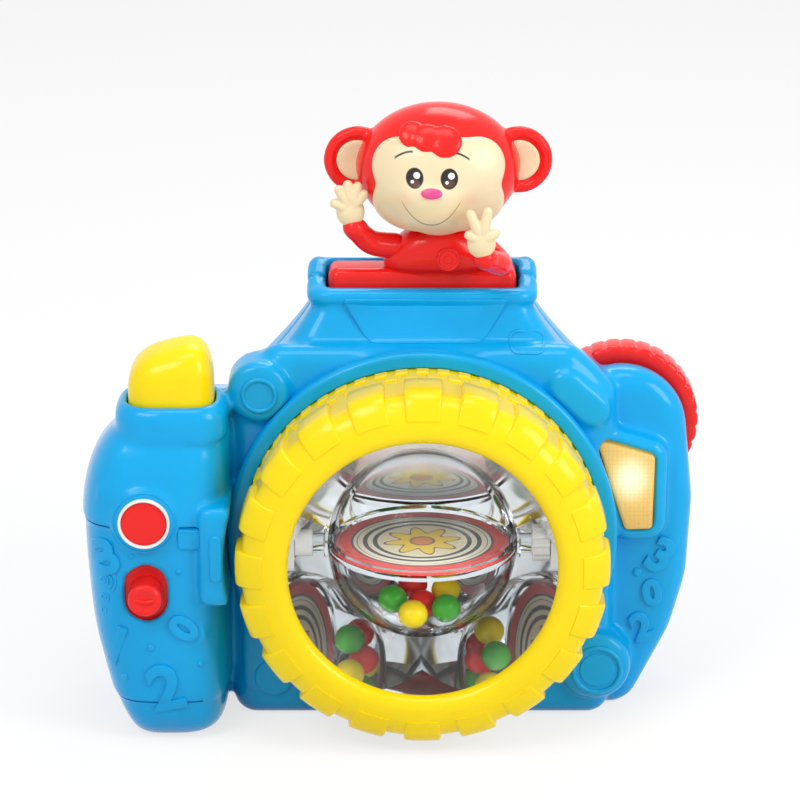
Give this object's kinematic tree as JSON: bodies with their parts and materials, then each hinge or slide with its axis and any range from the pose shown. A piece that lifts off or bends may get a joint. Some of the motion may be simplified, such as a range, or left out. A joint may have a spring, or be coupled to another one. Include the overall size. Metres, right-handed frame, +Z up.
{
  "type": "toy camera",
  "caption": "Chunky toy camera with a turning lens ring, a bead ball in a mirror cup, a side dial, a volume slider and a shutter button that pops a monkey up.",
  "frame": {"origin": "on the surface it stands on, under the lens axis, where the two case halves meet", "axes": "+X to the viewer's right, +Y away from the viewer, +Z up"},
  "size_m": [0.187, 0.0835, 0.1894],
  "materials": {
    "blue_plastic": "glossy moulded plastic",
    "yellow_plastic": "glossy moulded plastic",
    "red_plastic": "glossy moulded plastic",
    "green_plastic": "glossy moulded plastic",
    "cream_plastic": "satin moulded plastic",
    "white_plastic": "moulded plastic",
    "clear_plastic": "clear moulded plastic",
    "printed_card": "printed on both faces",
    "mirror_film": "metallised mirror film",
    "flash_window": "frosted, lit from behind",
    "led": "lens of the lamp",
    "steel": "plated",
    "cell": "sleeved cells",
    "circuit": "bare board",
    "black_plastic": "moulded"
  },
  "bodies": {
    "case": {"front_shell": "blue_plastic", "back_shell": "blue_plastic", "ring_collar": "blue_plastic", "lens_barrel": "blue_plastic", "mirror_cup": "mirror_film", "bearing_left": "white_plastic", "bearing_right": "white_plastic", "dial_axle": "steel", "flash_lens": "flash_window", "flash_reflector": "mirror_film", "flash_led": "led", "badge_rim": "white_plastic", "badge_disc": "red_plastic", "slide_switch": "black_plastic", "main_board": "circuit", "speaker": "black_plastic", "battery_box": "white_plastic", "batteries": "cell", "battery_contacts": "steel", "case_screws": "steel", "button_spring": "steel", "rocker_pin": "steel"},
    "ring": {"lens_ring": "yellow_plastic"},
    "ball": {"ball_lower": "clear_plastic", "ball_upper": "clear_plastic", "ball_disc": "printed_card", "ball_gear": "clear_plastic", "ball_collar": "clear_plastic", "beads_yellow": "yellow_plastic", "beads_red": "red_plastic", "beads_green": "green_plastic"},
    "dial": {"dial_wheel": "red_plastic"},
    "slider": {"slider_knob": "red_plastic"},
    "door": {"battery_door": "blue_plastic", "door_screw": "steel"},
    "shutter": {"shutter_button": "yellow_plastic"},
    "rocker": {"rocker_lever": "white_plastic"},
    "monkey": {"monkey_plunger": "red_plastic", "monkey_torso": "red_plastic", "chest_disc": "red_plastic", "monkey_head": "red_plastic", "monkey_face": "cream_plastic", "monkey_ear_pads": "cream_plastic", "monkey_arms": "red_plastic", "monkey_hands": "cream_plastic"}
  },
  "joints": [
    {"name": "shutter_press", "type": "slide", "parent": "case", "child": "shutter", "axis": [0, 0, -1], "range_m": [0, 0.006], "stiffness_N_per_m": 150, "springref_m": -0.002, "deforming": ["button_spring"]},
    {"name": "rocker_tilt", "type": "hinge", "parent": "case", "child": "rocker", "pos_m": [-0.0544, 0.0092, 0.083], "axis": [0, -1, 0], "range_deg": [0, 16.8]},
    {"name": "monkey_pop", "type": "slide", "parent": "case", "child": "monkey", "axis": [0, 0, 1], "range_m": [0, 0.016]},
    {"name": "lens_ring_turn", "type": "hinge", "parent": "case", "child": "ring", "pos_m": [0, -0.04, 0.06], "axis": [0, -1, 0], "continuous": true},
    {"name": "ball_spin", "type": "hinge", "parent": "case", "child": "ball", "pos_m": [0, -0.029, 0.06], "axis": [1, 0, 0], "continuous": true},
    {"name": "dial_turn", "type": "hinge", "parent": "case", "child": "dial", "pos_m": [0.0608, 0.002, 0.09], "axis": [0, -1, 0], "continuous": true},
    {"name": "volume_slide", "type": "slide", "parent": "case", "child": "slider", "axis": [0, 0, 1], "range_m": [-0.0035, 0.0035]},
    {"name": "battery_door_swing", "type": "hinge", "parent": "case", "child": "door", "pos_m": [0, 0.0249, 0.0646], "axis": [1, 0, 0], "range_deg": [0, 80]}
  ],
  "couplings": [
    {"joint": "rocker_tilt", "follows": "shutter_press", "rad_per_m": 48.75},
    {"joint": "monkey_pop", "follows": "shutter_press", "ratio": 2.6666}
  ]
}
